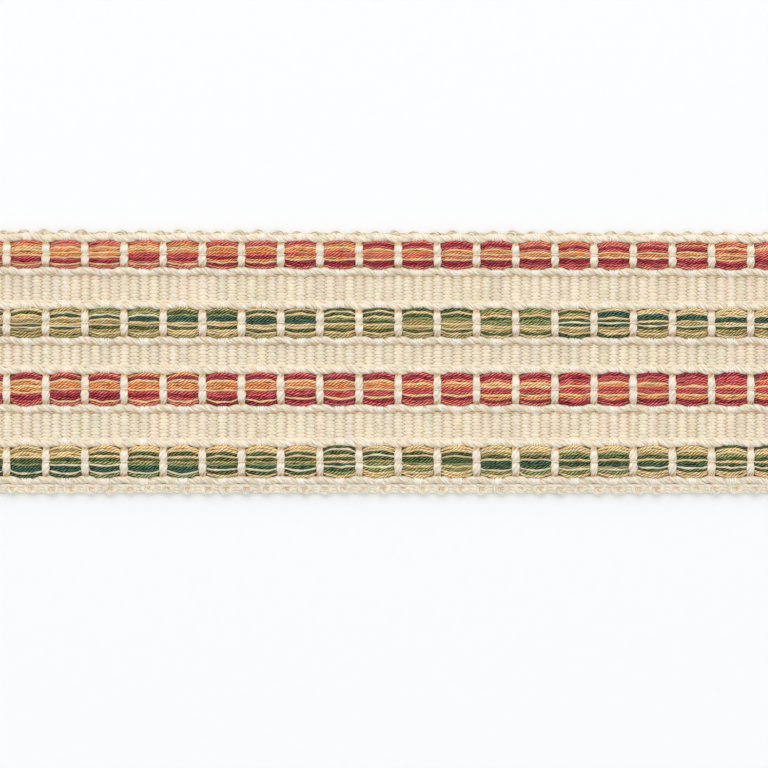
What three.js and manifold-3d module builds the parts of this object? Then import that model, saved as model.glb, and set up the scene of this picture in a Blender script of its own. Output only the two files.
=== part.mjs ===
// A cut length of woven braid trim, lying flat on its back. Millimetres, +X along the tape, +Z up.
// A cream tape with three ribbed strips carries eight twisted cords and four bundles of coloured floats.
// Its thick weft comes up over each bundle as a bar, and turns back at both edges as a row of small loops.
import * as THREE from "three";
import { mergeVertices } from "three/addons/utils/BufferGeometryUtils.js";
import Module from "manifold-3d";

// Driving dimensions
const pitch = 7.5; // one bar to the next
const beads = 21; // barrels of floats in the cut length, with a bar in the middle of the piece
const halfLength = (pitch * beads) / 2;
const gap = 0.3; // between neighbouring pieces
const narrowing = 0.45; // how much the far edge has drawn in at the right-hand end
const endMargin = 0.05; // the least length of a face at the cut ends

// Middle of each cord across the tape, from the far edge to the near one
const cordPlaces = [23.9, 17.45, 10.9, 4.12, -1.53, -8.91, -15.5, -22.7];
// A cord's furrows run askew, further along on its near side by twice the slant
const cord = { halfWidth: 0.64, halfFoot: 0.5, height: 1.3, shoulder: 0.72, furrow: 0.32, slant: 0.9 };
const strandsPerCord = 3;
const cordClearance = 0.72; // half of the width that a cord takes up

const ground = { seat: 0.7 }; // thickness of the cloth under the cords and the bundles
const rib = { perPitch: 4, crest: 1.5, valley: 1.05, side: 0.12 };
const loop = { perPitch: 2, root: 24.55, tip: 25.5, rise: 0.25, inner: 24.28 };
const loopPhase = { far: -0.7, near: 0.8 }; // where the loops stand to the bars at each edge
const bar = { wide: 1.4, top: 2.6, thick: 0.5, leg: 0.45, sunk: 0.2, taper: 0.35 };

// Each bundle lies between a pair of cords, and so does each ribbed strip
const bundles = [
  { name: "float_red_1", cords: [1, 2], colour: 0xc45a48 },
  { name: "float_green_1", cords: [3, 4], colour: 0x8b8a58 },
  { name: "float_red_2", cords: [5, 6], colour: 0xc4564a },
  { name: "float_green_2", cords: [7, 8], colour: 0x6f8250 },
];
const strips = [{ cords: [2, 3] }, { cords: [4, 5] }, { cords: [6, 7] }];

// Across one rib, as shares of its pitch: a broad crest, then a narrow valley
const ribShape = [
  { at: -0.25, z: rib.crest },
  { at: 0.25, z: rib.crest },
  { at: 0.5, z: rib.valley },
];
// Along one edge loop: how far out it reaches, as a share of its depth
const loopShape = [
  { at: -0.26, out: 0.8 },
  { at: 0, out: 1 },
  { at: 0.26, out: 0.8 },
  { at: 0.5, out: 0 },
];
// Along one barrel of a bundle, from bar to bar: its share of the full width, and the height of its crown
const barrelShape = [
  { at: 0.12, wide: 0.66, crown: 1.75 },
  { at: 0.3, wide: 1, crown: 2.5 },
  { at: 0.7, wide: 1, crown: 2.5 },
  { at: 0.88, wide: 0.66, crown: 1.75 },
];
// One side of a bundle's section, from its foot to its crown, as shares of its half width and its height
const bundleSection = [
  { out: 0.88, up: 0 },
  { out: 1, up: 0.45 },
  { out: 0.55, up: 1 },
];

const creamTape = 0xe5d6bd;
const creamCord = 0xe9dec7;

// A rail is a line of points along the piece that repeats its places at every step. Neighbouring rails
// are stitched by their `at` values, so that a fine rail can meet a coarse one.
function rail(step, places, shift = 0) {
  const reach = Math.ceil(halfLength / step) + 1;
  const points = [];
  for (let n = -reach; n <= reach; n++) {
    for (const place of places) {
      const at = (n + place.at) * step;
      const x = at + shift;
      if (Math.abs(x) < halfLength - endMargin) points.push({ at, x, y: place.y, z: place.z });
    }
  }
  const start = { ...points[0], at: -Infinity, x: -halfLength };
  const end = { ...points[points.length - 1], at: Infinity, x: halfLength };
  return [start, ...points, end];
}

// Triangles between two rails, always stepping along the one whose next point comes first
function stitch(near, far, faces) {
  let i = 0;
  let j = 0;
  while (i < near.length - 1 || j < far.length - 1) {
    const stepNear = j === far.length - 1 || (i < near.length - 1 && near[i + 1].at <= far[j + 1].at);
    if (stepNear) {
      faces.push([near[i], far[j], near[i + 1]]);
      i++;
    } else {
      faces.push([near[i], far[j], far[j + 1]]);
      j++;
    }
  }
}

// A closed solid from rails listed round its section, with flat cut ends
function solidOfRails(rails) {
  const faces = [];
  rails.forEach((line, k) => stitch(line, rails[(k + 1) % rails.length], faces));
  const start = rails.map((line) => line[0]);
  const end = rails.map((line) => line[line.length - 1]);
  const outline = start.map((p) => new THREE.Vector2(p.y, p.z));
  for (const [a, b, c] of THREE.ShapeUtils.triangulateShape(outline, [])) {
    faces.push([start[c], start[b], start[a]]);
    faces.push([end[a], end[b], end[c]]);
  }
  const positions = faces.flat().flatMap((p) => [p.x, p.y, p.z]);
  const geometry = new THREE.BufferGeometry();
  geometry.setAttribute("position", new THREE.Float32BufferAttribute(positions, 3));
  return mergeVertices(geometry);
}

// The far edge is not quite parallel to the near one: everything towards it draws in to the right
function drawIn(geometry) {
  const position = geometry.getAttribute("position");
  for (let i = 0; i < position.count; i++) {
    const share = Math.max(0, position.getY(i) / loop.tip);
    const along = (position.getX(i) / halfLength + 1) / 2;
    position.setY(i, position.getY(i) - narrowing * along * share);
  }
  return geometry;
}

function piece(name, geometry, colour, roughness) {
  const finished = drawIn(geometry).toNonIndexed();
  finished.computeVertexNormals();
  const finish = new THREE.MeshStandardMaterial({ color: colour, roughness, metalness: 0 });
  const mesh = new THREE.Mesh(finished, finish);
  mesh.name = name;
  return mesh;
}

// The middle and half width of the room between two cords, a gap clear of both
function between([far, near]) {
  const farY = cordPlaces[far - 1];
  const nearY = cordPlaces[near - 1];
  return { middle: (farY + nearY) / 2, half: (farY - nearY) / 2 - cordClearance - gap };
}

function plainRail(y, z) {
  return rail(pitch, [{ at: 0.5, y, z }]);
}

function ribRail(y) {
  return rail(pitch / rib.perPitch, ribShape.map(({ at, z }) => ({ at, y, z })));
}

function loopRail(side, phase, onTop) {
  const places = loopShape.map(({ at, out }) => ({
    at,
    y: side * (loop.root + (loop.tip - loop.root) * out),
    z: onTop ? ground.seat + loop.rise * out : 0,
  }));
  return rail(pitch / loop.perPitch, places, phase);
}

// The tape: flat seats for the cords and the bundles, ribbed strips, and a row of loops at each edge
function tapeSolid() {
  const rails = [
    loopRail(1, loopPhase.far, false),
    loopRail(1, loopPhase.far, true),
    plainRail(loop.inner, ground.seat),
  ];
  for (const strip of strips) {
    const { middle, half } = between(strip.cords);
    rails.push(plainRail(middle + half, ground.seat));
    rails.push(ribRail(middle + half - rib.side));
    rails.push(ribRail(middle - half + rib.side));
    rails.push(plainRail(middle - half, ground.seat));
  }
  rails.push(plainRail(-loop.inner, ground.seat));
  rails.push(loopRail(-1, loopPhase.near, true));
  rails.push(loopRail(-1, loopPhase.near, false));
  return solidOfRails(rails);
}

// A bar of weft that comes up beside a bundle, goes over it and down again
function barSolid(x, middle, half) {
  const foot = ground.seat - bar.sunk;
  const inside = half - bar.leg;
  const outline = [
    [-half, foot],
    [-half + bar.taper, bar.top],
    [half - bar.taper, bar.top],
    [half, foot],
    [inside, foot],
    [inside, bar.top - bar.thick],
    [-inside, bar.top - bar.thick],
    [-inside, foot],
  ];
  const arch = new THREE.Shape(outline.map(([y, z]) => new THREE.Vector2(y, z)));
  const geometry = new THREE.ExtrudeGeometry(arch, { depth: bar.wide, bevelEnabled: false });
  const acrossTape = new THREE.Vector3(0, 1, 0);
  const upwards = new THREE.Vector3(0, 0, 1);
  const alongTape = new THREE.Vector3(1, 0, 0);
  geometry.applyMatrix4(new THREE.Matrix4().makeBasis(acrossTape, upwards, alongTape));
  geometry.translate(x - bar.wide / 2, middle, 0);
  return geometry;
}

const wasm = await Module();
wasm.setup();

function toManifold(geometry) {
  const bare = geometry.clone();
  bare.deleteAttribute("normal");
  bare.deleteAttribute("uv");
  const merged = mergeVertices(bare);
  return new wasm.Manifold(
    new wasm.Mesh({
      numProp: 3,
      vertProperties: merged.getAttribute("position").array,
      triVerts: new Uint32Array(merged.index.array),
    }),
  );
}

function fromManifold(solid) {
  const mesh = solid.getMesh();
  const geometry = new THREE.BufferGeometry();
  geometry.setAttribute("position", new THREE.BufferAttribute(mesh.vertProperties, 3));
  geometry.setIndex(new THREE.BufferAttribute(mesh.triVerts, 1));
  return geometry;
}

function tapeWithBars() {
  const joined = [toManifold(tapeSolid())];
  const last = (beads - 1) / 2;
  for (const bundle of bundles) {
    const { middle, half } = between(bundle.cords);
    for (let n = -last; n <= last; n++) joined.push(toManifold(barSolid(n * pitch, middle, half)));
  }
  return fromManifold(wasm.Manifold.union(joined));
}

// A cord of three strands, with a furrow between each strand and the next that slants across its top
function cordSolid(y) {
  const base = ground.seat + gap;
  const step = pitch / strandsPerCord;
  const crown = rail(step, [
    { at: 0, y, z: base + cord.height - cord.furrow },
    { at: 0.5, y, z: base + cord.height },
  ]);
  const shoulder = (side) =>
    rail(step, [{ at: 0, y: y + side * cord.halfWidth, z: base + cord.shoulder }], -side * cord.slant);
  const foot = (side) => plainRail(y + side * cord.halfFoot, base);
  return solidOfRails([foot(1), shoulder(1), crown, shoulder(-1), foot(-1)]);
}

// A bundle of floats: a row of barrels, drawn in and pressed down under each bar
function bundleSolid({ middle, half }) {
  const base = ground.seat + gap;
  const otherSide = bundleSection.map(({ out, up }) => ({ out: -out, up })).reverse();
  const rails = [...bundleSection, ...otherSide].map(({ out, up }) => {
    const places = barrelShape.map(({ at, wide, crown }) => ({
      at,
      y: middle + out * half * wide,
      z: base + up * (crown - base),
    }));
    return rail(pitch, places);
  });
  return solidOfRails(rails);
}

const trim = new THREE.Group();
trim.add(piece("ground", tapeWithBars(), creamTape, 0.9));
cordPlaces.forEach((y, i) => trim.add(piece(`cord_${i + 1}`, cordSolid(y), creamCord, 0.85)));
for (const { name, cords, colour } of bundles) {
  trim.add(piece(name, bundleSolid(between(cords)), colour, 0.8));
}

export default trim;
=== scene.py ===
import math

import bpy
import numpy as np
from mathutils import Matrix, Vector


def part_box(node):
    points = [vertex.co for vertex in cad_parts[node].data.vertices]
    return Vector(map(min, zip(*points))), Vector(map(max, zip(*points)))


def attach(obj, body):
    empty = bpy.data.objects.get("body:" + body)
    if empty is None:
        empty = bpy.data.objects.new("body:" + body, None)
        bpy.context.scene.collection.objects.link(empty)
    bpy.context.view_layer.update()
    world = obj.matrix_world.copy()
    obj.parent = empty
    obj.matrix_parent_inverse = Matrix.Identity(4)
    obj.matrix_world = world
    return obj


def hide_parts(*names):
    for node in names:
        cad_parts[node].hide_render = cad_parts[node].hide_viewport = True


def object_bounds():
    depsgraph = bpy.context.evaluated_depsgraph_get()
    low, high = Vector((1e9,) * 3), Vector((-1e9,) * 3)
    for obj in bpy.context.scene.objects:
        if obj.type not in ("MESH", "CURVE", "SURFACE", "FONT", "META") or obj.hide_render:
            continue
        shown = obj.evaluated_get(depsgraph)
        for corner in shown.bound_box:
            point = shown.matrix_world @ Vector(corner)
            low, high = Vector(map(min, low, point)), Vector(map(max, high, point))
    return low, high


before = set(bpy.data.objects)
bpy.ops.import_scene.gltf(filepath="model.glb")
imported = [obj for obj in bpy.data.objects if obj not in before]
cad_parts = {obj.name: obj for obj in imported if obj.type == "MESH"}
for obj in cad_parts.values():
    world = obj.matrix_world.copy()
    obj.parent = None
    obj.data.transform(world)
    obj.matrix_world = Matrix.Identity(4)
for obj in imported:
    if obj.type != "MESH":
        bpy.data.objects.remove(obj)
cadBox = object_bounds()

# A braid trim, flat on its back. It runs along X, its far edge is towards +Y and its face is up.
# Sizes in this file are in millimetres, and one function turns them into metres.
mm = 0.001

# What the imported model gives: the cut length, the edges and the eight cords from far to near
tape = {"beads": 21, "ribsPerBead": 4, "narrowing": 0.45, "cordHalfWidth": 0.64}
halfLength = cadBox[1].x / mm
halfWidth = cadBox[1].y / mm
pitch = 2 * halfLength / tape["beads"]  # from one bar to the next
ribPitch = pitch / tape["ribsPerBead"]
lastBar = tape["beads"] // 2
bars = np.arange(-lastBar, lastBar + 1) * pitch
beadMiddles = (np.arange(-lastBar, lastBar) + 0.5) * pitch
cordPlaces = [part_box(f"cord_{n}")[1].y / mm - tape["cordHalfWidth"] for n in range(1, 9)]

# One letter for each colour of yarn, as bytes of screen colour: five for the red bands, then six for the
# green ones, which also take G
dyes = {
    "R": (158, 18, 34),
    "C": (216, 66, 64),
    "K": (234, 108, 80),
    "O": (242, 148, 70),
    "G": (255, 218, 144),
    "T": (32, 70, 48),
    "D": (58, 76, 28),
    "M": (138, 148, 72),
    "L": (188, 164, 84),
    "S": (248, 219, 152),
    "W": (255, 243, 200),
}
creams = {"weft": (250, 245, 232), "cord": (236, 225, 203), "warp": (240, 227, 203)}
acrossTape = (0, 1, 0)
alongTape = (1, 0, 0)
anyTurn = 6  # two yarns' twists and waves may start this far apart, in radians


def linear(screen):
    share = np.asarray(screen, dtype=float) / 255
    return np.where(share <= 0.04045, share / 12.92, ((share + 0.055) / 1.055) ** 2.4)


def smooth(t):
    t = np.clip(t, 0, 1)
    return t * t * (3 - 2 * t)


# Places along the tape from one cut end to the other
def placesAlong(perBead):
    return np.linspace(-halfLength, halfLength, tape["beads"] * perBead + 1)


def levelLine(x, y, z):
    return np.column_stack([x, np.full_like(x, y), np.full_like(x, z)])


def sideBySide(ends):
    return ((np.arange(ends) + 0.5) / ends) * 2 - 1


# A slow wave whose length and start are drawn by chance
def wander(rng, x, slow, fast):
    return np.sin(x * rng.uniform(slow, fast) + rng.uniform(0, anyTurn))


# What a shade leaves of a colour, where `share` says how much of the shade is there
def dimmed(share, shade):
    return 1 - share * (1 - np.array(shade))


# The far edge has drawn in a little to the right, and everything towards it follows
def drawIn(points):
    share = np.maximum(0, points[:, 1] / halfWidth)
    along = (points[:, 0] / halfLength + 1) / 2
    moved = points.copy()
    moved[:, 1] -= tape["narrowing"] * along * share
    return moved


# Node helpers: a value that comes from another node is linked, any other is set on the socket
def put(tree, kind, inputs=None, **settings):
    node = tree.nodes.new(kind)
    for key, value in settings.items():
        setattr(node, key, value)
    for key, value in (inputs or {}).items():
        feed(tree, node.inputs[key], value)
    return node


def feed(tree, socket, value):
    if isinstance(value, bpy.types.NodeSocket):
        tree.links.new(value, socket)
    else:
        socket.default_value = value


def maths(tree, operation, a, b=0.0):
    return put(tree, "ShaderNodeMath", {0: a, 1: b}, operation=operation).outputs[0]


def vectorMaths(tree, operation, a, b=(0, 0, 0), out=0):
    return put(tree, "ShaderNodeVectorMath", {0: a, 1: b}, operation=operation).outputs[out]


def scaled(tree, vector, amount):
    return put(tree, "ShaderNodeVectorMath", {0: vector, "Scale": amount}, operation="SCALE").outputs[0]


def remap(tree, value, start, stop, least=0.0, most=1.0, kind="SMOOTHSTEP"):
    inputs = {"Value": value, "From Min": start, "From Max": stop, "To Min": least, "To Max": most}
    return put(tree, "ShaderNodeMapRange", inputs, interpolation_type=kind).outputs[0]


# Where a point of a yarn's section is, and its angle there from the twist
def plyAngle(tree, section, turn):
    split = put(tree, "ShaderNodeSeparateXYZ", {0: section}).outputs
    return split, maths(tree, "SUBTRACT", maths(tree, "ARCTAN2", split["Y"], split["X"]), turn)


def openTree(name, kind, inputs, outputs):
    tree = bpy.data.node_groups.new(name, kind)
    for label, socketKind, start in inputs:
        socketType = "NodeSocket" + socketKind
        socket = tree.interface.new_socket(name=label, in_out="INPUT", socket_type=socketType)
        if start is not None:
            socket.default_value = start
    for label, socketKind in outputs:
        socketType = "NodeSocket" + socketKind
        tree.interface.new_socket(name=label, in_out="OUTPUT", socket_type=socketType)
    return tree, tree.nodes.new("NodeGroupInput").outputs, tree.nodes.new("NodeGroupOutput").inputs


# Geometry Nodes: every yarn in the braid is spun by this tree. Its input is a mesh of bare edges, one
# chain for each yarn, whose points hold the yarn's half width, its flatness, its twist and its sideways
# direction. The plies stand out as lobes that wind along the yarn with the twist.
def spunYarnTree():
    inputs = [
        ("Yarn Lines", "Geometry", None),
        ("Sides", "Int", 6),
        ("Plies", "Float", 2.0),
        ("Ply Depth", "Float", 0.1),
        ("Finish", "Material", None),
    ]
    tree, given, result = openTree("spunYarn", "GeometryNodeTree", inputs, [("Yarns", "Geometry")])

    def held(name, kind="FLOAT"):
        return put(tree, "GeometryNodeInputNamedAttribute", {"Name": name}, data_type=kind).outputs[0]

    def store(geometry, name, value):
        values = {"Geometry": geometry, "Name": name, "Value": value}
        settings = {"data_type": "FLOAT_VECTOR", "domain": "POINT"}
        return put(tree, "GeometryNodeStoreNamedAttribute", values, **settings).outputs[0]

    position = put(tree, "GeometryNodeInputPosition").outputs[0]
    across = held("across", "FLOAT_VECTOR")
    curve = put(tree, "GeometryNodeMeshToCurve", {"Mesh": given["Yarn Lines"]}).outputs[0]
    upright = {"Curve": curve, "Normal": across}
    curve = put(tree, "GeometryNodeSetCurveNormal", upright, mode="FREE").outputs[0]
    curve = store(curve, "middle", position)
    ring = {"Resolution": given["Sides"], "Radius": 1.0}
    circle = put(tree, "GeometryNodeCurvePrimitiveCircle", ring, mode="RADIUS").outputs[0]
    section = store(circle, "section", position)
    sweep = {"Curve": curve, "Profile Curve": section, "Scale": held("thick"), "Fill Caps": True}
    tube = put(tree, "GeometryNodeCurveToMesh", sweep).outputs[0]

    # Lobes of the plies, then the flattening square to the sideways direction
    angle = plyAngle(tree, held("section", "FLOAT_VECTOR"), held("turn"))[1]
    wave = maths(tree, "COSINE", maths(tree, "MULTIPLY", angle, given["Plies"]))
    lobe = maths(tree, "ADD", maths(tree, "MULTIPLY", wave, given["Ply Depth"]), 1.0)
    middle = held("middle", "FLOAT_VECTOR")
    outward = vectorMaths(tree, "SUBTRACT", position, middle)
    sideways = scaled(tree, across, vectorMaths(tree, "DOT_PRODUCT", outward, across, "Value"))
    upward = scaled(tree, vectorMaths(tree, "SUBTRACT", outward, sideways), held("flat"))
    swelled = scaled(tree, vectorMaths(tree, "ADD", sideways, upward), lobe)
    place = vectorMaths(tree, "ADD", middle, swelled)
    tube = put(tree, "GeometryNodeSetPosition", {"Geometry": tube, "Position": place}).outputs[0]
    for name in ("middle", "across", "flat", "thick"):
        tube = put(tree, "GeometryNodeRemoveAttribute", {"Geometry": tube, "Name": name}).outputs[0]
    tube = put(tree, "GeometryNodeSetShadeSmooth", {"Geometry": tube, "Shade Smooth": True}).outputs[0]
    tube = put(tree, "GeometryNodeRealizeInstances", {"Geometry": tube}).outputs[0]
    tube = put(tree, "GeometryNodeSetMaterial", {"Geometry": tube, "Material": given["Finish"]}).outputs[0]
    feed(tree, result["Yarns"], tube)
    return tree


spunYarn = spunYarnTree()


# A skein is a list of yarns, each a dictionary of arrays with a row for each point along the yarn
def yarn(points, across, thick, flat, turn, tint):
    count = len(points)
    points = drawIn(points)
    steps = np.linalg.norm(np.diff(points, axis=0), axis=1)
    along = np.concatenate([[0], np.cumsum(steps)])
    across = np.broadcast_to(across, (count, 3))
    return {
        "points": points,
        "across": across / np.linalg.norm(across, axis=1, keepdims=True),
        "thick": np.broadcast_to(thick, count) * mm,
        "flat": np.broadcast_to(flat, count),
        "turn": np.broadcast_to(turn, count),
        "along": along,
        "tint": np.broadcast_to(tint, (count, 3)),
    }


def spin(name, skein, look, finish):
    joined = {key: np.concatenate([one[key] for one in skein]) for key in skein[0]}
    first = np.cumsum([0] + [len(one["points"]) for one in skein])
    edges = [(i, i + 1) for a, b in zip(first[:-1], first[1:]) for i in range(a, b - 1)]
    mesh = bpy.data.meshes.new(name)
    mesh.from_pydata((joined["points"] * mm).tolist(), edges, [])
    for key, kind, field in (
        ("across", "FLOAT_VECTOR", "vector"),
        ("tint", "FLOAT_VECTOR", "vector"),
        ("thick", "FLOAT", "value"),
        ("flat", "FLOAT", "value"),
        ("turn", "FLOAT", "value"),
        ("along", "FLOAT", "value"),
    ):
        held = mesh.attributes.new(key, kind, "POINT")
        held.data.foreach_set(field, joined[key].astype("f").ravel())
    piece = bpy.data.objects.new(name, mesh)
    bpy.context.collection.objects.link(piece)
    maker = piece.modifiers.new("spunYarn", "NODES")
    maker.node_group = spunYarn
    values = {"Sides": look["sides"], "Plies": look["plies"], "Ply Depth": look["plyDepth"]}
    values["Finish"] = finish
    for item in spunYarn.interface.items_tree:
        if item.in_out == "INPUT" and item.name in values:
            maker[item.identifier] = values[item.name]
    evaluated = piece.evaluated_get(bpy.context.evaluated_depsgraph_get())
    made = bpy.data.meshes.new_from_object(evaluated)
    piece.modifiers.clear()
    piece.data = made
    made.name = name
    bpy.data.meshes.remove(mesh)
    made.calc_loop_triangles()
    print(f"{name}: {len(skein)} yarns, {len(made.loop_triangles)} triangles")
    return piece


# Shader group: where the furrow between two plies runs and how the fibres lie, from a yarn's attributes.
# Its masks place painted shade in the furrows and down each yarn's lower sides, and a painted highlight on
# the plies' crests. Each pair says where a part of the shading starts and where it is full.
twistShading = {
    "furrow": (-0.1, -1.0),  # by the wave of the plies: 1 on a ply's crest, -1 in a furrow
    "crest": (0.1, 1.0),
    # Painted shade down a yarn's lower sides, by the height on its section
    "flank": (0.62, -0.25),  # by the height on the yarn's section
    "side": (0.72, 0.8),  # by the distance from the yarn's middle
    "plyRelief": 0.5,
    "fibreRelief": 0.6,
    "fibreSpread": 5.0,  # the noise stays near its middle, so it is widened
    "palest": 0.4,
}


def yarnTwistGroup():
    inputs = [
        ("Section", "Vector", None),
        ("Turn", "Float", 0.0),
        ("Along", "Float", 0.0),
        ("Plies", "Float", 2.0),
        ("Fibre Fineness", "Float", 3.0),
        ("Fibre Length", "Float", 1.0),
    ]
    outputs = [(label, "Float") for label in ("Furrow", "Crest", "Fibre", "Flank", "Height")]
    tree, given, result = openTree("yarnTwist", "ShaderNodeTree", inputs, outputs)
    split, angle = plyAngle(tree, given["Section"], given["Turn"])
    ply = maths(tree, "COSINE", maths(tree, "MULTIPLY", angle, given["Plies"]))
    # Fibres follow the twist, so the noise is read in a frame that turns with it
    turning = {
        "X": maths(tree, "MULTIPLY", maths(tree, "COSINE", angle), given["Fibre Fineness"]),
        "Y": maths(tree, "MULTIPLY", maths(tree, "SINE", angle), given["Fibre Fineness"]),
        "Z": maths(tree, "DIVIDE", given["Along"], given["Fibre Length"]),
    }
    place = put(tree, "ShaderNodeCombineXYZ", turning).outputs[0]
    grain = {"Vector": place, "Scale": 1.0, "Detail": 3.0, "Roughness": 0.6}
    fibre = put(tree, "ShaderNodeTexNoise", grain).outputs[0]
    plyRelief = maths(tree, "MULTIPLY", ply, twistShading["plyRelief"])
    fibreRelief = maths(tree, "MULTIPLY", fibre, twistShading["fibreRelief"])
    made = {
        "Furrow": remap(tree, ply, *twistShading["furrow"]),
        "Crest": remap(tree, ply, *twistShading["crest"]),
        "Flank": remap(tree, split["Y"], *twistShading["flank"]),
        "Height": maths(tree, "ADD", plyRelief, fibreRelief),
    }
    # A cut end shows none of this: across its flat cap the section is shorter than on the yarn's sides
    length = vectorMaths(tree, "LENGTH", given["Section"], out="Value")
    side = remap(tree, length, *twistShading["side"])
    for label, value in made.items():
        feed(tree, result[label], maths(tree, "MULTIPLY", value, side))
    fibre = maths(tree, "MULTIPLY", maths(tree, "SUBTRACT", fibre, 0.5), side)
    feed(tree, result["Fibre"], maths(tree, "ADD", fibre, 0.5))
    return tree


# Shader group: unevenness of dye and soil over the braid, read in Object coordinates. Broad patches are
# lighter or darker, and small specks also turn a little towards another hue.
unevenness = {"patches": 420.0, "specks": 1500.0, "spread": (0.3, 0.7), "hue": 4.0}


def unevenDyeGroup():
    inputs = [
        ("Colour", "Color", (0.8, 0.8, 0.8, 1.0)),
        ("Place", "Vector", None),
        ("Amount", "Float", 0.1),
        ("Mottle", "Float", 0.1),
    ]
    tree, given, result = openTree("unevenDye", "ShaderNodeTree", inputs, [("Colour", "Color")])

    def noise(scale):
        grain = {"Vector": given["Place"], "Scale": scale, "Detail": 2.0}
        return put(tree, "ShaderNodeTexNoise", grain).outputs

    low = maths(tree, "SUBTRACT", 1.0, given["Amount"])
    high = maths(tree, "ADD", 1.0, given["Amount"])
    start, stop = unevenness["spread"]
    level = remap(tree, noise(unevenness["patches"])[0], start, stop, low, high, "LINEAR")
    patched = scaled(tree, given["Colour"], level)
    specks = vectorMaths(tree, "SUBTRACT", noise(unevenness["specks"])[1], (0.5, 0.5, 0.5))
    specks = scaled(tree, specks, maths(tree, "MULTIPLY", given["Mottle"], unevenness["hue"]))
    specks = vectorMaths(tree, "ADD", specks, (1, 1, 1))
    feed(tree, result["Colour"], vectorMaths(tree, "MULTIPLY", patched, specks))
    return tree


yarnTwist = yarnTwistGroup()
unevenDye = unevenDyeGroup()


def dyedUnevenly(tree, colour, amount, mottle):
    place = put(tree, "ShaderNodeTexCoord").outputs["Object"]
    values = {"Colour": colour, "Place": place, "Amount": amount, "Mottle": mottle}
    return put(tree, "ShaderNodeGroup", values, node_tree=unevenDye).outputs[0]


def mixColour(tree, share, a, b, blend="MIX"):
    node = put(tree, "ShaderNodeMix", data_type="RGBA", blend_type=blend, clamp_factor=True)
    feed(tree, node.inputs[0], share)
    feed(tree, node.inputs[6], a)
    feed(tree, node.inputs[7], b)
    return node.outputs[2]


# Paints shade over a colour: towards the colour times a shade colour, as far as level says
def shaded(tree, colour, level, shade):
    full = mixColour(tree, 1.0, colour, (*linear(shade), 1), "MULTIPLY")
    return mixColour(tree, level, colour, full)


def addRelief(tree, shader, height, strength, depth):
    values = {"Height": height, "Strength": strength, "Distance": depth * mm}
    feed(tree, shader.inputs["Normal"], put(tree, "ShaderNodeBump", values).outputs[0])


def openMaterial(name, look):
    material = bpy.data.materials.new(name)
    material.use_nodes = True
    tree = material.node_tree
    tree.nodes.clear()
    values = {
        "Roughness": look["roughness"],
        "Sheen Weight": look["sheen"],
        "Sheen Tint": (*linear(look["sheenTint"]), 1),
        "Specular IOR Level": 0.25,
    }
    shader = put(tree, "ShaderNodeBsdfPrincipled", values)
    out = put(tree, "ShaderNodeOutputMaterial")
    tree.links.new(shader.outputs[0], out.inputs["Surface"])
    return material, tree, shader


# A finish for yarn: the yarn's own colour, with painted shade in the furrows between plies and down its
# flanks, and a painted highlight on the plies' crests
def yarnFinish(name, look):
    material, tree, shader = openMaterial(name, look)

    def attribute(label, out="Fac"):
        return put(tree, "ShaderNodeAttribute", attribute_name=label).outputs[out]

    values = {
        "Section": attribute("section", "Vector"),
        "Turn": attribute("turn"),
        "Along": attribute("along"),
        "Plies": float(look["plies"]),
        "Fibre Fineness": look["fibreFineness"],
        "Fibre Length": look["fibreLength"],
    }
    twist = put(tree, "ShaderNodeGroup", values, node_tree=yarnTwist).outputs
    dyed = dyedUnevenly(tree, attribute("tint", "Color"), look["uneven"], look["mottle"])

    # A power above one deepens a colour, as painted shade in a furrow. Below one it pales, as a painted
    # highlight on a ply's crest.
    def times(value, factor, more):
        inputs = {0: value, 1: factor, 2: more}
        return put(tree, "ShaderNodeMath", inputs, operation="MULTIPLY_ADD").outputs[0]

    spread = twistShading["fibreSpread"] * look["fibreDeep"]
    power = times(twist["Fibre"], spread, 1 - spread / 2)
    power = times(twist["Furrow"], look["furrowDeep"], power)
    power = times(twist["Crest"], -look["crestLight"], power)
    power = maths(tree, "MAXIMUM", power, twistShading["palest"])
    colour = put(tree, "ShaderNodeGamma", {"Color": dyed, "Gamma": power}).outputs[0]
    # Then painted shade: the colour turns towards itself times the shade colour, in the furrows and down
    # the flanks
    for part, share in (("Furrow", look["furrowShade"]), ("Flank", look["flankShade"])):
        level = maths(tree, "MULTIPLY", twist[part], share)
        colour = shaded(tree, colour, level, look["shade"])
    feed(tree, shader.inputs["Base Color"], colour)
    addRelief(tree, shader, twist["Height"], look["bump"], look["relief"])
    return material


# Looks for the yarn finishes: furrowDeep, furrowShade and flankShade set the painted shade, shade is its
# colour, and crestLight sets the painted highlight
creamLook = {
    "plies": 3,
    "roughness": 0.85,
    "sheen": 0.12,
    "sheenTint": (255, 248, 232),
    "fibreFineness": 1.4,
    "fibreLength": 1.6,
    "fibreDeep": 0.5,
    "furrowDeep": 0.5,
    "crestLight": 0.3,
    "furrowShade": 0.2,
    "flankShade": 0.3,
    "shade": (212, 184, 140),
    "uneven": 0.05,
    "mottle": 0.08,
    "bump": 0.5,
    "relief": 0.06,
}
floatLook = {
    **creamLook,
    "plies": 4,
    "sheen": 0.02,
    "sheenTint": (255, 226, 200),
    "fibreFineness": 1.1,
    "fibreLength": 1.4,
    "fibreDeep": 0.65,
    "furrowDeep": 1.2,
    "crestLight": 0.75,
    "furrowShade": 0.65,
    "flankShade": 0.45,
    "shade": (156, 84, 40),
    "uneven": 0.1,
    "mottle": 0.14,
    "relief": 0.17,
}
weftLook = {
    **creamLook,
    "plies": 2,
    "furrowDeep": 0.3,
    "furrowShade": 0.3,
    "flankShade": 0.15,
    "bump": 0.35,
}
cordFinishLook = {
    **creamLook,
    "furrowDeep": 0.2,
    "crestLight": 0.2,
    "furrowShade": 0.2,
    "flankShade": 0.12,
    "fibreFineness": 2.4,
    "fibreDeep": 1.0,
}
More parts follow.
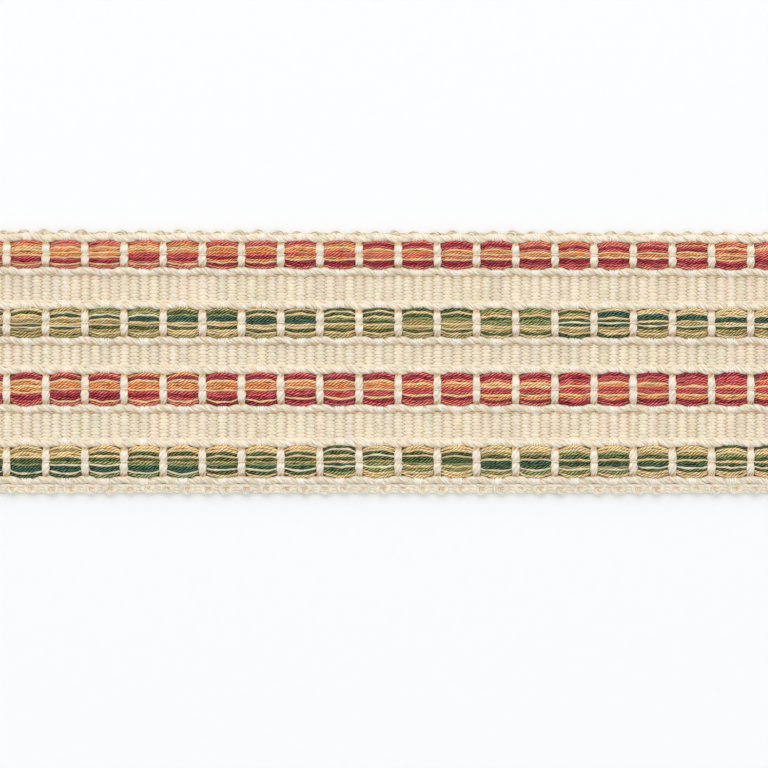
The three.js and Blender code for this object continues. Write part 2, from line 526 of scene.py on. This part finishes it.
warpLook = {
    **creamLook,
    "plies": 2,
    "furrowDeep": 0.15,
    "crestLight": 0.1,
    "furrowShade": 0.0,
    "flankShade": 0.08,
    "mottle": 0.05,
    "bump": 0.25,
}
creamWeftFinish = yarnFinish("creamWeft", weftLook)
creamCordFinish = yarnFinish("creamCord", cordFinishLook)
creamWarpFinish = yarnFinish("creamWarp", warpLook)
creamLoopFinish = yarnFinish("creamLoop", {**weftLook, "furrowShade": 0.25, "flankShade": 0.0})
redFloatFinish = yarnFinish("redFloat", floatLook)
# The green floats' painted shade is a more olive colour
greenFloatFinish = yarnFinish("greenFloat", {**floatLook, "shade": (124, 94, 46)})


# The tape itself: one thin ribbed cloth that everything else is woven into
ground = {
    "edge": 24.3,  # half of the cloth's width, under the loops
    "seat": 0.72,  # top of the ribs under the cords and the bundles
    "seatGroove": 0.5,
    "crest": 1.15,  # top of the ribs in the open strips, under their warp
    "groove": 0.94,
    "backGroove": 0.16,
    "perRib": 4,  # steps along each rib
    "cordRoom": 0.95,  # from the middle of a cord to the strip beside it
    "step": 0.1,  # half of the width in which the cloth rises from the seat to a strip
    "warpPitch": 0.345,  # from one end of warp to the next
    # The cloth's colour is a darker cream than the yarns', painted shade for where it shows between them
    "colour": (236, 212, 174),
    # Painted shade laid between two ends of warp
    "gapShadeColour": (190, 150, 105),  # laid over the colour between two ends of warp
    "gap": (0.5, 0.0, 0.6),  # where that starts, where it is full, and how strong it gets
    "roughness": 0.9,
    "sheen": 0.1,
    "sheenTint": (255, 246, 230),
    "uneven": 0.08,
    "mottle": 0.08,
    "fibres": 2600.0,
    "bump": 0.6,
    "relief": 0.08,
}
strips = [(cordPlaces[far], cordPlaces[near]) for far, near in ((1, 2), (3, 4), (5, 6))]
bundles = [(cordPlaces[far], cordPlaces[near]) for far, near in ((0, 1), (2, 3), (4, 5), (6, 7))]


def groundFinish():
    look = ground
    material, tree, shader = openMaterial("creamCloth", look)
    place = put(tree, "ShaderNodeTexCoord").outputs["Object"]
    split = put(tree, "ShaderNodeSeparateXYZ", {0: place}).outputs
    wave = maths(tree, "MULTIPLY", split["Y"], math.pi / (look["warpPitch"] * mm))
    ends = maths(tree, "ABSOLUTE", maths(tree, "COSINE", wave))
    grain = {"Vector": place, "Scale": look["fibres"], "Detail": 3.0}
    fibre = put(tree, "ShaderNodeTexNoise", grain).outputs[0]
    dyed = dyedUnevenly(tree, (*linear(look["colour"]), 1), look["uneven"], look["mottle"])
    # Painted shade between the ends of warp
    start, full, most = look["gap"]
    level = remap(tree, ends, start, full, 0.0, most, "LINEAR")
    feed(tree, shader.inputs["Base Color"], shaded(tree, dyed, level, look["gapShadeColour"]))
    addRelief(tree, shader, maths(tree, "ADD", ends, fibre), look["bump"], look["relief"])
    return material


def makeGround():
    x = placesAlong(tape["ribsPerBead"] * ground["perRib"])
    rib = 0.5 + 0.5 * np.cos(2 * math.pi * x / ribPitch)
    step = ground["step"]
    rows = [(-ground["edge"], False)]  # each row's place across, and whether it lies in an open strip
    for far, near in reversed(strips):
        low, high = near + ground["cordRoom"], far - ground["cordRoom"]
        rows += [(low - step, False), (low + step, True), ((low + high) / 2, True)]
        rows += [(high - step, True), (high + step, False)]
    rows.append((ground["edge"], False))
    top, under = [], []
    for y, inStrip in rows:
        crest = ground["crest"] if inStrip else ground["seat"]
        groove = ground["groove"] if inStrip else ground["seatGroove"]
        top.append(np.column_stack([x, np.full_like(x, y), groove + (crest - groove) * rib]))
        under.append(np.column_stack([x, np.full_like(x, y), ground["backGroove"] * (1 - rib)]))
    points = drawIn(np.concatenate(top + under))
    wide, tall = len(x), len(rows)
    down = tall * wide  # from a point on the face to the one under it
    faces = []
    for j in range(tall - 1):
        for i in range(wide - 1):
            a = j * wide + i
            b = a + down
            faces.append((a, a + 1, a + wide + 1, a + wide))
            faces.append((b, b + wide, b + wide + 1, b + 1))
    for i in range(wide - 1):
        a, b = i, (tall - 1) * wide + i
        faces.append((a, a + down, a + down + 1, a + 1))
        faces.append((b, b + 1, b + 1 + down, b + down))
    for j in range(tall - 1):
        a, b = j * wide, j * wide + wide - 1
        faces.append((a, a + wide, a + wide + down, a + down))
        faces.append((b, b + down, b + wide + down, b + wide))
    mesh = bpy.data.meshes.new("tapeCloth")
    mesh.from_pydata((points * mm).tolist(), [], faces)
    mesh.materials.append(groundFinish())
    mesh.shade_smooth()
    cloth = bpy.data.objects.new("tapeCloth", mesh)
    bpy.context.collection.objects.link(cloth)
    print(f"tapeCloth: {2 * len(faces)} triangles")
    return cloth


# Warp of the open strips: each end goes over one rib and under the next, its neighbours the other way
stripWarp = {
    "sides": 6,
    "plies": 2,
    "plyDepth": 0.03,
    "perRib": 5,
    "room": (0.8, 0.66),  # from the middle of the cord on the far side and on the near side
    "over": 1.38,
    "under": 0.86,
    "wideOver": 0.52,
    "wideUnder": 0.15,
    "rise": 1.1,  # how sharply an end rises over a rib, and how sharply it widens there
    "widen": 2,
    "flat": 0.42,
    "lay": 2.2,
    "uneven": 0.05,
    "stray": 0.03,
    # Painted shade in the grooves between the ribs, where the ends dive
    "dive": (0.38, 0.32),  # how high over the ribs the shade of the grooves starts, and how fast it ends
    "groove": (0.77, 0.67, 0.5),  # how much of the colour is left where the ends dive between the ribs
    "beside": (0.74, 0.26, 1.3),  # a plain end beside each cord: its place, half width and height
    # The end beside the far cord is tan: painted shadow cast by that cord. The one beside the near cord is
    # plain warp cream.
    "besideShadowTint": (222, 190, 150),
    "besideStep": 4,  # it takes one point in so many
    "tones": (0.97, 1.03),
    "ribTones": (0.95, 1.02),
    "ribHues": (0.98, 1.02),
    "seed": 11,
}


def makeStripWarp(number, far, near):
    look = stripWarp
    rng = np.random.default_rng(look["seed"] + number)
    high, low = far - look["room"][0], near + look["room"][1]
    count = round((high - low) / ground["warpPitch"])
    x = placesAlong(tape["ribsPerBead"] * look["perRib"])
    ribOf = np.round((x + halfLength) / ribPitch).astype(int)
    ribs = ribOf[-1] + 1
    ribTint = rng.uniform(*look["ribTones"], (ribs, 1)) * rng.uniform(*look["ribHues"], (ribs, 3))
    plain = 2 * math.pi * x / look["lay"]
    skein = []
    for n in range(count):
        share = (np.cos(math.pi * x / ribPitch + n * math.pi) + 1) / 2
        z = look["under"] + (look["over"] - look["under"]) * share ** look["rise"]
        thick = look["wideUnder"] + (look["wideOver"] - look["wideUnder"]) * share ** look["widen"]
        thick = thick * (1 + look["uneven"] * wander(rng, x, 0.5, 1.2))
        y = high - (n + 0.5) * (high - low) / count + look["stray"] * wander(rng, x, 0.2, 0.6)
        turn = plain + rng.uniform(0, anyTurn)
        # Painted shade where an end dives between two ribs
        grooveShade = 1 - smooth((share - look["dive"][0]) / look["dive"][1])[:, None]
        tint = linear(creams["warp"]) * rng.uniform(*look["tones"]) * dimmed(grooveShade, look["groove"])
        points = np.column_stack([x, y, z])
        skein.append(yarn(points, acrossTape, thick, look["flat"], turn, tint * ribTint[ribOf]))
    place, half, z = look["beside"]
    x, turn = x[:: look["besideStep"]], plain[:: look["besideStep"]]
    # The end by the far cord takes the painted shadow
    for y, colour in ((far - place, look["besideShadowTint"]), (near + place, creams["warp"])):
        skein.append(yarn(levelLine(x, y, z), acrossTape, half, 1.0, turn, linear(colour)))
    return spin(f"stripWarp{number}", skein, look, creamWarpFinish)


# Cords: three strands laid round one another, pushed aside by the barrels and pressed down by the ties
cordLook = {
    "sides": 6,
    "plies": 2,
    "plyDepth": 0.03,
    "perBead": 24,
    "strands": 3,
    "cordLay": pitch * 0.88,  # one turn of the strands round one another
    "strand": 0.53,
    "offCentre": 0.3,
    "high": 0.78,  # a cord's height as a share of its width
    "middle": 1.43,
    "sway": 0.2,  # how far the barrels push it aside, and how far the ties press it down
    "dip": 0.06,
    "loose": 0.6,  # how far the strands' turns stray, in radians
    "uneven": 0.05,
    "lay": 3.1,  # one turn of a strand's own twist
    "tones": (0.97, 1.03),
    "seed": 23,
}


def cordMiddle(x, place, side):
    beat = np.cos(2 * math.pi * x / pitch)
    y = place - side * cordLook["sway"] * beat
    z = cordLook["middle"] + cordLook["dip"] * beat
    return y, z


def makeCords():
    look = cordLook
    rng = np.random.default_rng(look["seed"])
    x = placesAlong(look["perBead"])
    cords = []
    for n, place in enumerate(cordPlaces, start=1):
        side = 1 if n % 2 else -1  # away from the bundle
        y, z = cordMiddle(x, place, side)
        loose = look["loose"] * wander(rng, x, 0.15, 0.3)
        skein = []
        for strand in range(look["strands"]):
            turns = x / look["cordLay"] + strand / look["strands"]
            angle = math.pi / 2 + 2 * math.pi * turns + loose
            away = look["offCentre"] * np.cos(angle)
            up = look["offCentre"] * look["high"] * np.sin(angle)
            turn = 2 * math.pi * x / look["lay"] + rng.uniform(0, anyTurn)
            thick = look["strand"] * (1 + look["uneven"] * wander(rng, x, 0.6, 1.4))
            tint = linear(creams["cord"]) * rng.uniform(*look["tones"])
            points = np.column_stack([x, y + away, z + up])
            skein.append(yarn(points, acrossTape, thick, look["high"], turn, tint))
        cords.append(spin(f"cord{n}", skein, look, creamCordFinish))
    return cords


# Colours of the floats in each bundle, from the far side to the near side, bead by bead from the left.
# A small letter is a thin yarn. Each row starts at the bead it names, counted from the left end.
floatColours = {
    "float_red_1": {
        0: "KOGGOgCRkgK",
        2: "KKGOgOgCRgK",
        4: "KOgGOCCRkGK",
        6: "KCgOOKROgRK",
        8: "CKgOOCOGRRK",
        9: "KOGOKCOgRRK",
        10: "KRCGOKKGRRK",
        12: "CRCgOgKGRRK",
        14: "OKRKGOGRRCK",
        16: "KKRCgOGRRCK",
        18: "KOCRGOGCRCK",
        19: "OKGCOgOGCRC",
        20: "KKGOKCCRRCK",
    },
    "float_green_1": {
        0: "SDGSLsdwLLL",
        2: "LSTGLSwdSLL",
        3: "MLwTSLsDLSL",
        4: "MLwTtSLDLSL",
        5: "LDMTTSSDSSL",
        7: "sDSDTtSSDSL",
        9: "dsDSmdSLDGL",
        11: "DSDMLLSLdSL",
        12: "DSDMLSLSdSL",
        13: "MLSDMMSSLdS",
        15: "sDLSDwTSLSD",
        16: "STTSDwTLSSD",
        17: "SSTTSdwDLSL",
        18: "SSTtSLwdLSL",
        19: "SSSTtSwdLLS",
    },
    "float_red_2": {
        0: "CRGOGOgCRCK",
        2: "KRGOOgCRRgK",
        4: "ORGOOgCRCgK",
        6: "CRGOOgCCRgR",
        8: "CRGOGCCRgRC",
        9: "CRGOOgCCGRC",
        11: "CRKGOCCGRCK",
        13: "CRKGGCCGOrK",
        15: "CRCKGCCGOCR",
        16: "RCCGOCCGORC",
        18: "RCCCGCCGORC",
        20: "RCOCGCCGORC",
    },
    "float_green_2": {
        0: "SLGSDdMTTwD",
        2: "SLGSDMwTTwD",
        3: "GSdGDMwTTwM",
        4: "GGDSdLMTtwM",
        6: "GSDsDLmTwDS",
        9: "dwDSDStwDMS",
        10: "SsDwDLMwMSG",
        11: "GSDsDDmGMSG",
        13: "SSLDsTtDwMS",
        15: "SSMDsdTlwMS",
        17: "SSLDsDtwdSS",
        19: "dSSMdSDwdSS",
    },
}

bundleLook = {
    "sides": 6,
    "plies": 2,
    "plyDepth": 0.16,
    "perBead": 30,
    "room": 0.5,  # from the middle of a cord to the edge of the bundle, at the middle of a bead
    "drawnIn": 0.54,  # width under a bar, as a share of that
    "crown": 2.5,
    "crownAtBar": 1.62,
    "roundness": 0.7,  # of a bead seen from above: lower is nearer to a barrel
    "shoulder": 0.8,  # height at the bundle's sides, as a share of its crown
    "doming": 2.6,
    "thin": 0.68,
    "sizes": (0.86, 1.14),  # yarns of one kind differ this much
    "tones": (0.92, 1.06),
    "overlap": 1.18,
    "flat": 0.95,
    "lay": 3.0,
    "drift": (0.8, 0.23, 0.35),  # of the twist: its size, how fast it changes, and its size for one yarn
    "slub": 0.13,  # how unevenly a yarn is spun, and how far it strays sideways and up and down
    "stray": 0.07,
    "rise": 0.09,
    "proud": 0.3,  # how much higher a thin yarn lies on its neighbours
    "crossing": (0.3, 0.4),  # where the yarns start to change places between two beads, and how fast
    "seed": 37,
}
filling = {
    "sides": 8,
    "plies": 1,
    "plyDepth": 0.0,
    "perBead": 6,
    "yarns": 3,
    "under": 0.34,  # how much lower its crown lies than the bundle's
    "narrower": 0.9,
    "overlap": 1.1,
    "droop": 0.25,
    "sunk": 0.05,
    # Dark colours of the lower yarns: painted shade for what shows in the gaps between the yarns above
    "red": (186, 80, 52),
    "green": (112, 100, 56),
}


def beadShape(x):
    away = np.abs((x / pitch) % 1 - 0.5) * 2  # 0 in the middle of a bead, 1 at a bar
    return (1 - away**2) ** bundleLook["roundness"]


def beadWidth(half, full):
    return half * (bundleLook["drawnIn"] + (1 - bundleLook["drawnIn"]) * full)


def beadCrown(full):
    return bundleLook["crownAtBar"] + (bundleLook["crown"] - bundleLook["crownAtBar"]) * full


def colourRow(rows, bead):
    return rows[max(start for start in rows if start <= bead)]


# Each yarn's share of its bead's width, and its place across it from -1 to 1
def sharedOut(rows, rng):
    shares = []
    for row in rows:
        size = np.array([bundleLook["thin"] if letter.islower() else 1.0 for letter in row])
        size = size * rng.uniform(*bundleLook["sizes"], len(row))
        shares.append(size / size.sum())
    shares = np.array(shares)
    return shares, (np.cumsum(shares, axis=1) - shares / 2) * 2 - 1


def makeBundle(name, far, near):
    look = bundleLook
    rng = np.random.default_rng(look["seed"] + len(name) + round(abs(far)))
    finish = redFloatFinish if "red" in name else greenFloatFinish
    middle = (far + near) / 2
    half = (far - near) / 2 - look["room"]
    x = placesAlong(look["perBead"])
    full = beadShape(x)
    width, crown = beadWidth(half, full), beadCrown(full)
    beads = tape["beads"] + 1  # the cut ends hold half a bead each
    rows = [colourRow(floatColours[name], bead) for bead in range(beads)]
    shares, centres = sharedOut(rows, rng)
    tints = np.array([[linear(dyes[letter.upper()]) for letter in row] for row in rows])
    beadOf = np.clip(np.floor(x / pitch + lastBar + 1).astype(int), 0, beads - 1)
    # Places across the bundle change under the bars, smoothly from one bead to the next
    at = x / pitch + lastBar + 0.5
    before = np.clip(np.floor(at).astype(int), 0, beads - 1)
    after = np.clip(before + 1, 0, beads - 1)
    blend = smooth((at - np.floor(at) - look["crossing"][0]) / look["crossing"][1])
    drift, pace, ownDrift = look["drift"]
    twist = drift * np.sin(x * pace + rng.uniform(0, anyTurn)) - 2 * math.pi * x / look["lay"]
    even = 1 / len(rows[0])
    skein = []
    for n in range(len(rows[0])):
        place = centres[before, n] * (1 - blend) + centres[after, n] * blend
        share = shares[before, n] * (1 - blend) + shares[after, n] * blend
        slub, stray, rise = (wander(rng, x, 0.8, 2.4) for _ in range(3))
        thick = share * width * look["overlap"] * (1 + look["slub"] * slub)
        y = middle - place * width + look["stray"] * stray
        dome = 1 - (1 - look["shoulder"]) * np.abs(place) ** look["doming"]
        z = crown * dome - thick * look["flat"] + look["rise"] * rise
        z = z + look["proud"] * np.clip((even - share) / even, 0, 1)
        turn = twist + ownDrift * wander(rng, x, 0.3, 0.8)
        tint = tints[beadOf, n] * rng.uniform(*look["tones"], beads)[beadOf][:, None]
        skein.append(yarn(np.column_stack([x, y, z]), acrossTape, thick, look["flat"], turn, tint))
    floats = spin(name + "_yarns", skein, look, finish)
    return floats, makeFilling(name, middle, half, finish)


# Lower yarns of a bundle, which fill it under the ones that show. Their dark colour is painted shade in the
# gaps between those.
def makeFilling(name, middle, half, finish):
    look = filling
    x = placesAlong(look["perBead"])
    full = beadShape(x)
    crown = beadCrown(full) - look["under"]
    width = beadWidth(half, full) * look["narrower"]
    thick = width / look["yarns"] * look["overlap"]
    foot = ground["seat"] - look["sunk"]
    # The painted shade colour for the gaps
    colour = linear(look["red" if "red" in name else "green"])
    skein = []
    for place in sideBySide(look["yarns"]):
        top = crown * (1 - look["droop"] * abs(place))
        points = np.column_stack([x, middle - place * width, (top + foot) / 2])
        skein.append(yarn(points, acrossTape, thick, (top - foot) / 2 / thick, 0.0, colour))
    return spin(name + "_filling", skein, look, finish)


# Weft that shows: a bar over each bundle, a tie over each cord, and a loop at each edge. The weft is
# several soft ends side by side.
barLook = {
    "sides": 6,
    "plies": 2,
    "plyDepth": 0.12,
    "ends": 3,
    "steps": 26,
    "room": 0.5,  # from the middle of a cord to the end of a bar
    "half": 0.95,
    "uneven": 0.06,
    "overlap": 1.2,
    "sizes": (0.9, 1.1),
    "inset": 0.8,  # how far in from a bar's side its outer ends lie, as a share of their half width
    "aside": -0.08,  # the bars lie a little to the left of their solids' middles
    "lean": 0.06,
    "waver": 0.02,
    "waverPace": 2,
    "crown": 0.24,  # how much lower the outer ends lie than the middle one
    "flat": 1.0,
    "lay": 2.4,
    # From the middle of a bar to its end, in mm and then as shares of the room left: place, height, width
    "lobe": ((0.0, 2.34, 0.8), (0.35, 2.48, 0.9), (0.9, 2.76, 1.02), (1.5, 2.6, 0.93)),
    "end": ((0.35, 2.26, 0.82), (0.7, 2.0, 0.86), (1.0, 1.66, 0.95)),
    "fineSteps": 240,
    "rounding": 13,  # of these steps, over which the corners of the two tables are rounded
    # Painted shade: at a bar's ends, where it dives under the cords, at its waist, and down the sides of
    # its outer ends
    "endShade": (0.72, 0.56, 0.38),  # how much of the colour is left at the ends
    "endsFrom": (1.4, 0.8),  # how far from an end that starts, and in what length it is full
    "waistShade": (0.93, 0.87, 0.77),
    "waist": (0.3, 0.2),  # where that lies from the middle, and how wide it is
    "sideShade": (0.96, 0.92, 0.87),
    "tones": (0.97, 1.03),
    "seed": 41,
}
tieLook = {
    "sides": 5,
    "plies": 2,
    "plyDepth": 0.0,
    "ends": 4,
    "steps": 8,
    "half": 0.95,
    "overlap": 1.1,
    "widths": (0.85, 1.1),  # ties differ this much in width, and their ends in width and in reach
    "sizes": (0.85, 1.15),
    "reaches": (0.96, 1.02),
    "reach": (0.84, 0.52),  # from the middle of the cord to the bundle's side and to the other side
    "foot": 1.0,  # height of a tie's two ends, and how far its top stands over its cord
    "proud": 0.1,
    "arch": 0.8,
    "lean": 0.15,
    "fan": (0.85, 0.2),  # how wide the ends spread over the cord, and how much more at the bundle
    "waver": 0.05,
    "lay": 3.0,
    "tones": (0.98, 1.05),
    "seed": 43,
}
loopLook = {
    "sides": 6,
    "plies": 2,
    "plyDepth": 0.04,
    "ends": 4,
    "steps": 9,
    "spread": (1.0, 0.84),  # half width of a loop at the far edge and at the near one
    "half": 0.74,
    "overlap": 1.3,
    "root": 23.6,
    "legSteps": 3,
    "high": 0.9,
    "top": 1.22,
    "drop": (0.45, 0.08),  # how much lower the tip of a loop lies, and its inner and outer ends
    "length": 6,  # of a loop's yarn, near enough for its twist
    "lay": 3.0,
    "phase": (-0.7, 0.8),  # where the loops stand to the bars at the far edge and at the near one
    "tip": (25.68, 25.62),  # how far out the loops reach there
    "short": (-0.3, 0.05),  # by how much a loop may fall short of that or pass it
    "aside": 0.2,
    "lean": 0.12,
    "closingSteps": 6,
    "closingFlat": 0.8,
    "closing": (((24.46, 0.52, 0.52),), ((23.62, 0.36, 1.18), (24.2, 0.42, 0.76), (24.76, 0.4, 0.46))),
    # Colours from the inner ends of a loop to its outer one, at the far edge and at the near one. They hold
    # painted light: the near edge's are lighter than the far edge's, against the shade it lies in, and its
    # inner ends are darker, as painted shade in each loop's hollow.
    "tints": (((208, 194, 168), (216, 202, 178), (214, 201, 174), (206, 193, 162)),
              ((234, 210, 174), (244, 228, 198), (253, 244, 224), (255, 247, 228))),
    # The closing ends too are painted lighter at the near edge than at the far one
    "closingTint": ((218, 204, 178), (254, 246, 226)),
    "tones": (0.9, 1.02),
    "seed": 47,
}


def barProfile(half):
    look = barLook
    reach = look["lobe"][-1][0]
    tail = [(reach + (half - reach) * place, z, wide) for place, z, wide in look["end"]]
    side = np.array([*look["lobe"], *tail])
    u = np.linspace(-half, half, look["steps"] + 1)
    # Rounded by a running mean, so that the corners of the tables don't show
    fine = np.linspace(-half, half, look["fineSteps"] + 1)
    soft = look["rounding"]
    kernel = np.hanning(2 * soft + 1)
    kernel = kernel / kernel.sum()
    rounded = []
    for column in (1, 2):
        line = np.interp(np.abs(fine), side[:, 0], side[:, column])
        line = np.convolve(np.pad(line, soft, mode="edge"), kernel, mode="valid")
        rounded.append(np.interp(u, fine, line))
    return u, *rounded


def makeBars():
    look = barLook
    rng = np.random.default_rng(look["seed"])
    skein = []
    for far, near in bundles:
        middle = (far + near) / 2
        half = (far - near) / 2 - look["room"]
        u, height, wide = barProfile(half)
        # Painted shade at the bar's ends and at its waist
        waist = np.exp(-(((np.abs(u) - look["waist"][0]) / look["waist"][1]) ** 2))[:, None]
        low = smooth((np.abs(u) - half + look["endsFrom"][0]) / look["endsFrom"][1])[:, None]
        shade = dimmed(low, look["endShade"]) * dimmed(waist, look["waistShade"])
        for x0 in bars:
            spread = look["half"] * (1 + rng.uniform(-look["uneven"], look["uneven"])) * wide
            lean = look["lean"] * rng.uniform(-1, 1) * u / half
            for side in sideBySide(look["ends"]):
                thick = spread / look["ends"] * look["overlap"] * rng.uniform(*look["sizes"])
                z = height - look["crown"] * side**2 - thick * look["flat"]
                waver = look["waver"] * np.sin(look["waverPace"] * u + rng.uniform(0, anyTurn))
                x = x0 + look["aside"] + lean + side * (spread - thick * look["inset"]) + waver
                turn = 2 * math.pi * u / look["lay"] + rng.uniform(0, anyTurn)
                # Weft cream with the bar's painted shade, and more of it on the outer ends
                tint = linear(creams["weft"]) * rng.uniform(*look["tones"]) * shade
                tint = tint * dimmed(side**2, look["sideShade"])
                points = np.column_stack([x, middle + u, z])
                skein.append(yarn(points, alongTape, thick, look["flat"], turn, tint))
    return spin("weftBars", skein, look, creamWeftFinish)


def makeTies():
    look = tieLook
    rng = np.random.default_rng(look["seed"])
    skein = []
    t = np.linspace(0, math.pi, look["steps"] + 1)
    inner, outer = look["reach"]
    spread, more = look["fan"]
    for n, place in enumerate(cordPlaces, start=1):
        side = 1 if n % 2 else -1
        for x0 in beadMiddles:
            middle, centre = cordMiddle(x0, place, side)
            top = centre + (cordLook["strand"] + cordLook["offCentre"]) * cordLook["high"] + look["proud"]
            lean = look["lean"] * rng.uniform(-1, 1)
            fan = look["half"] * rng.uniform(*look["widths"]) * (spread + more * np.cos(t))
            for across in sideBySide(look["ends"]):
                thick = look["half"] / look["ends"] * look["overlap"] * rng.uniform(*look["sizes"])
                away = (inner - outer) / 2 + (inner + outer) / 2 * np.cos(t)
                y = middle - side * away * rng.uniform(*look["reaches"])
                z = look["foot"] + (top - thick - look["foot"]) * np.sin(t) ** look["arch"]
                x = x0 + lean * np.cos(t) + across * fan + look["waver"] * rng.uniform(-1, 1)
                turn = 2 * math.pi * y / look["lay"] + rng.uniform(0, anyTurn)
                tint = linear(creams["weft"]) * rng.uniform(*look["tones"])
                skein.append(yarn(np.column_stack([x, y, z]), alongTape, thick, 1.0, turn, tint))
    return spin("weftTies", skein, look, creamCordFinish)


def makeLoops():
    look = loopLook
    rng = np.random.default_rng(look["seed"])
    skein = []
    step = pitch / 2
    count = int(halfLength / step) + 1
    t = np.linspace(0, math.pi, look["steps"])
    thick = look["half"] / look["ends"] * look["overlap"]
    for k, side in enumerate((1, -1)):  # the far edge, then the near one
        spread = look["spread"][k]
        for n in range(-count, count + 1):
            x0 = n * step + look["phase"][k] + look["aside"] * rng.uniform(-1, 1)
            if abs(x0) > halfLength - spread - look["half"]:
                continue
            bend = look["tip"][k] + rng.uniform(*look["short"]) - spread - look["half"]
            lean = look["lean"] * rng.uniform(-1, 1)
            legs = np.linspace(look["root"], bend, look["legSteps"] + 1)[:-1]
            # Each end takes its tint, with the painted light and shade set in loopLook
            for shade, across in zip(look["tints"][k], sideBySide(look["ends"])):
                radius = spread + across * (look["half"] - thick)
                lead = np.full(look["legSteps"], radius)
                x = x0 + np.concatenate([lead, radius * np.cos(t), -lead])
                y = np.concatenate([legs, bend + radius * np.sin(t), legs[::-1]])
                out = np.clip((y - look["root"]) / (halfWidth - look["root"]), 0, 1)
                z = look["top"] - look["drop"][0] * out**2 - look["drop"][1] * across**2
                along = np.linspace(0, look["length"], len(x))
                turn = 2 * math.pi * along / look["lay"] + rng.uniform(0, anyTurn)
                tint = linear(shade) * rng.uniform(*look["tones"])
                points = np.column_stack([x + lean * out, side * y, z])
                half, flat = thick * look["high"], 1 / look["high"]
                skein.append(yarn(points, (0, 0, 1), half, flat, turn, tint))
        # More ends lie lengthwise behind the loops and close the room between them
        x = placesAlong(look["closingSteps"])
        turn = 2 * math.pi * x / look["lay"]
        # Painted lighter at the near edge than at the far one
        tint = linear(look["closingTint"][k])
        for y, half, z in look["closing"][k]:
            points = levelLine(x, side * y, z)
            skein.append(yarn(points, acrossTape, half, look["closingFlat"], turn, tint))
    return spin("edgeLoops", skein, look, creamLoopFinish)


# Binder: a fine thread along each bundle that comes up over the bars and draws in their waists
binderLook = {
    "sides": 5,
    "plies": 2,
    "plyDepth": 0.1,
    "steps": 10,
    "reach": 1.0,
    "top": 2.42,
    "foot": 1.4,
    "arch": 2.4,
    "half": 0.17,
    "flat": 0.9,
    "stray": 0.1,
    "lay": 0.8,
    "seed": 53,
}


def makeBinders():
    look = binderLook
    rng = np.random.default_rng(look["seed"])
    skein = []
    t = np.linspace(-1, 1, look["steps"] + 1)
    for far, near in bundles:
        for x0 in bars:
            x = x0 + look["reach"] * t
            y = (far + near) / 2 + look["stray"] * (rng.uniform(-1, 1) + rng.uniform(-1, 1) * t)
            z = look["foot"] + (look["top"] - look["foot"]) * (1 - np.abs(t) ** look["arch"])
            turn = 2 * math.pi * x / look["lay"]
            points = np.column_stack([x, y, z])
            skein.append(yarn(points, acrossTape, look["half"], look["flat"], turn, linear(creams["warp"])))
    return spin("binders", skein, look, creamWarpFinish)


print("cloth")
tapeCloth = makeGround()
print("strips")
warpPieces = [makeStripWarp(n, far, near) for n, (far, near) in enumerate(strips, start=1)]
print("cords")
cordPieces = makeCords()
print("bundles")
bundlePieces = {name: makeBundle(name, far, near) for name, (far, near) in zip(floatColours, bundles)}
print("weft")
weftPieces = [makeBars(), makeTies(), makeLoops(), makeBinders()]

for piece in [tapeCloth, *warpPieces, *weftPieces]:
    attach(piece, "root")
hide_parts("ground")
for n, piece in enumerate(cordPieces, start=1):
    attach(piece, "root")
    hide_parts(f"cord_{n}")
for name, pair in bundlePieces.items():
    for piece in pair:
        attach(piece, "root")
    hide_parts(name)

# Floor, light and camera. Sizes of the floor and the lights are in metres, the camera's in millimetres.
floorLook = {
    "width": 6.0,
    "colour": (250, 251, 252),
    "roughness": 0.9,
    "sheen": 0.0,
    "sheenTint": (255, 255, 255),
    "uneven": 0.004,
    "mottle": 0.0,
}
studio = {
    "sky": 0.62,
    "keySize": 3.4,
    "keyPower": 50.0,
    "keyPlace": (-0.3, 2.2, 1.8),
    "fillSize": 4.8,
    "fillPower": 21.0,
    "fillPlace": (0.6, -0.8, 3.6),
}
view = {"span": 147.2, "centre": (-2.8, -4.2), "height": 1.3, "lens": 200.0, "sensor": 36.0}


def makeFloor():
    half = floorLook["width"] / 2
    corners = [(-half, -half, 0), (half, -half, 0), (half, half, 0), (-half, half, 0)]
    mesh = bpy.data.meshes.new("floor")
    mesh.from_pydata(corners, [], [(0, 1, 2, 3)])
    material, tree, shader = openMaterial("paleFloor", floorLook)
    colour = (*linear(floorLook["colour"]), 1)
    toned = dyedUnevenly(tree, colour, floorLook["uneven"], floorLook["mottle"])
    feed(tree, shader.inputs["Base Color"], toned)
    mesh.materials.append(material)
    floor = bpy.data.objects.new("floor", mesh)
    bpy.context.collection.objects.link(floor)


def makeLight(name, size, power, place):
    light = bpy.data.lights.new(name, "AREA")
    light.shape = "DISK"
    light.size = size
    light.energy = power
    lamp = bpy.data.objects.new(name, light)
    lamp.location = place
    bpy.context.collection.objects.link(lamp)
    towards = -lamp.location
    lamp.rotation_euler = towards.to_track_quat("-Z", "Y").to_euler()


def makeCamera():
    data = bpy.data.cameras.new("camera")
    data.sensor_width = view["sensor"]
    data.lens = view["lens"]
    camera = bpy.data.objects.new("camera", data)
    x, y = view["centre"]
    distance = view["span"] * view["lens"] / view["sensor"]
    camera.location = (x * mm, y * mm, (view["height"] + distance) * mm)
    bpy.context.collection.objects.link(camera)
    bpy.context.scene.camera = camera


makeFloor()
makeLight("key", studio["keySize"], studio["keyPower"], studio["keyPlace"])
makeLight("fill", studio["fillSize"], studio["fillPower"], studio["fillPlace"])
world = bpy.data.worlds.new("studio")
world.use_nodes = True
world.node_tree.nodes["Background"].inputs["Color"].default_value = (1, 1, 1, 1)
world.node_tree.nodes["Background"].inputs["Strength"].default_value = studio["sky"]
bpy.context.scene.world = world
bpy.context.scene.view_settings.view_transform = "Standard"
makeCamera()
